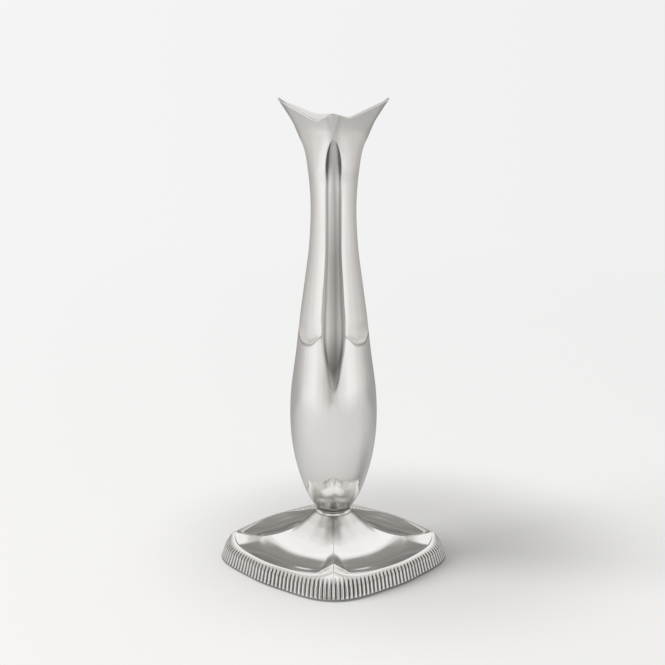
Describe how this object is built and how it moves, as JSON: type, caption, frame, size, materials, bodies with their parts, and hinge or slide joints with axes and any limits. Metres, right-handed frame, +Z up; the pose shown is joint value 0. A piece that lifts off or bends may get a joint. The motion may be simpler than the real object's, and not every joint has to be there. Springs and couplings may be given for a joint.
{
  "type": "orchid vase",
  "caption": "Polished silver orchid vase: fluted, flaring neck with an upswept mouth on a round bulb, standing on a weighted, scooped square foot with a reeded border.",
  "frame": {"origin": "middle of the underside of the felt, on the surface that the vase stands on", "axes": "+Z up along the axis of the vase, -Y towards the front corner of the foot, X through the high tips of the mouth"},
  "size_m": [0.1142, 0.1142, 0.23],
  "materials": {
    "polished_silver": "polished silver with fine handling marks",
    "turned_brass": "turned, unpolished",
    "cast_filler": "cast, matt",
    "dark_felt": "pressed wool felt",
    "fastener_steel": "plain steel"
  },
  "bodies": {
    "root": {"body_front_half": "polished_silver", "body_back_half": "polished_silver", "body_boss": "turned_brass", "collar_ring": "polished_silver", "foot_dish": "polished_silver", "border_front_left": "polished_silver", "border_front_right": "polished_silver", "border_back_right": "polished_silver", "border_back_left": "polished_silver", "foot_filler": "cast_filler", "base_plate": "turned_brass", "felt_pad": "dark_felt", "fixing_stud": "fastener_steel", "clamp_washer": "fastener_steel", "clamp_nut": "fastener_steel"}
  },
  "joints": []
}
